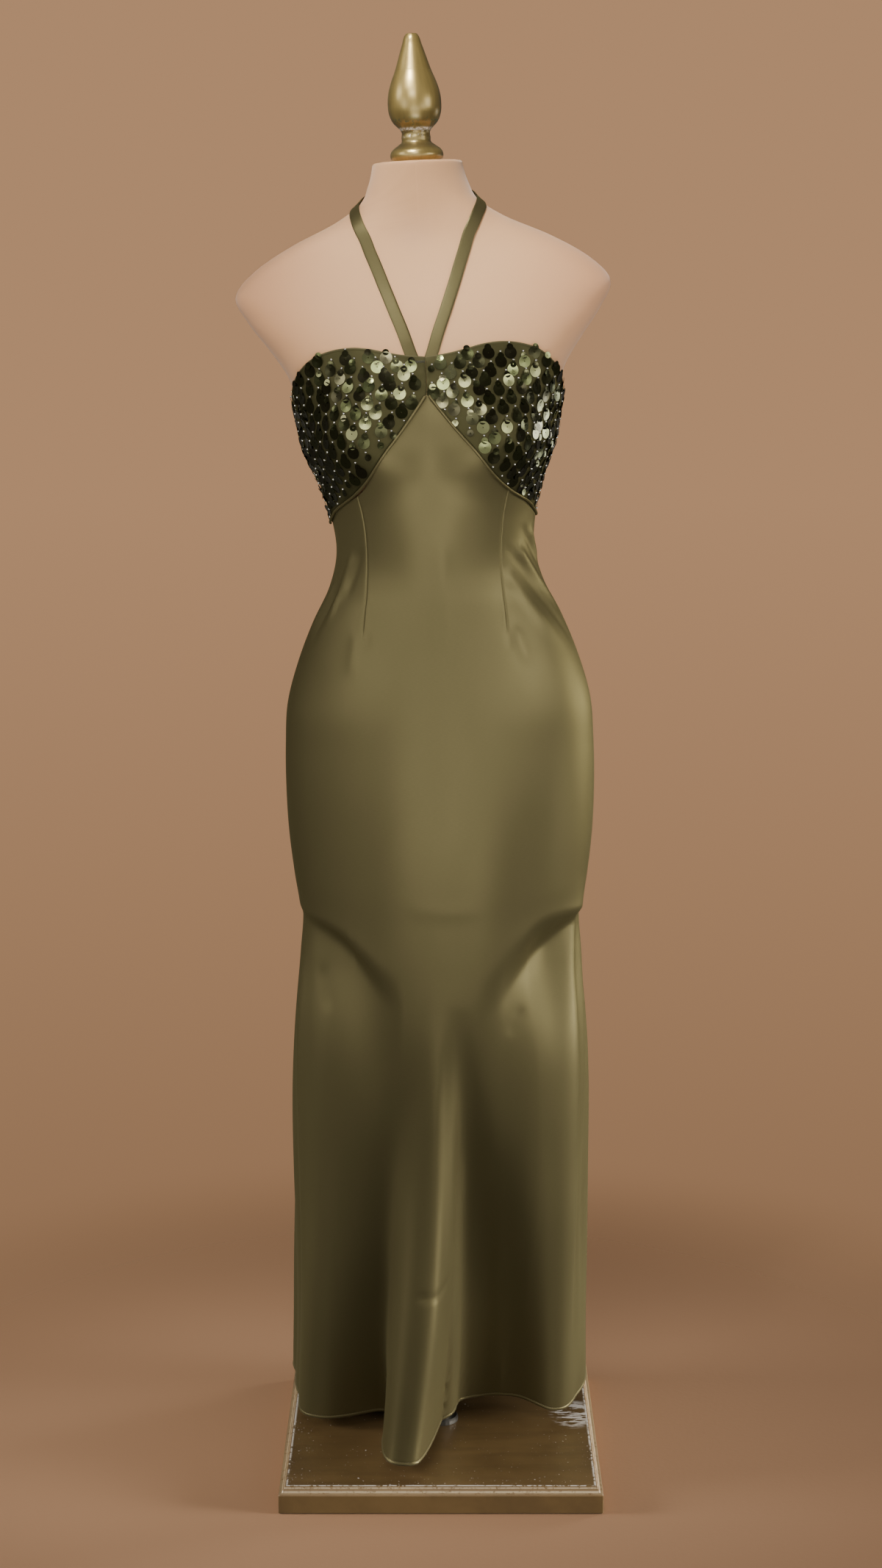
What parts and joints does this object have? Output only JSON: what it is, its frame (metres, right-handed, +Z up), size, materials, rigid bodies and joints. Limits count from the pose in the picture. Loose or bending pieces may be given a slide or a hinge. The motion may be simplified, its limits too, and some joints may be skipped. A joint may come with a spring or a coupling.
{
  "type": "evening gown on limbless dress form stand",
  "caption": "Floor-length halter evening gown with a sequined bodice and folded skirt, worn by a limbless dress form with a neck finial on a square base.",
  "frame": {"origin": "centre of the base board's underside", "axes": "+Z up, the gown faces -Y, the wearer's left is +X"},
  "size_m": [0.4055, 0.36, 1.5986],
  "materials": {
    "olive_satin": "olive satin with a soft sheen",
    "sequin_ground": "olive satin covered with dark mirror sequins and small silver beads",
    "form_jersey": "smooth matt jersey",
    "gold_paint": "worn gold paint on turned wood",
    "board_paint": "worn bronze-brown paint with chipped edges",
    "pole_steel": "plain steel tube"
  },
  "bodies": {
    "root": {"front_panel": "olive_satin", "back_panel_left": "olive_satin", "back_panel_right": "olive_satin", "cup_left": "sequin_ground", "cup_right": "sequin_ground", "back_bodice_left": "sequin_ground", "back_bodice_right": "sequin_ground", "piping_left": "olive_satin", "piping_right": "olive_satin", "halter_strap_left": "olive_satin", "halter_strap_right": "olive_satin", "zip_strip": "olive_satin", "torso_form": "form_jersey", "neck_finial": "gold_paint", "stand_pole": "pole_steel", "pole_flange": "pole_steel", "base_board": "board_paint"}
  },
  "joints": []
}
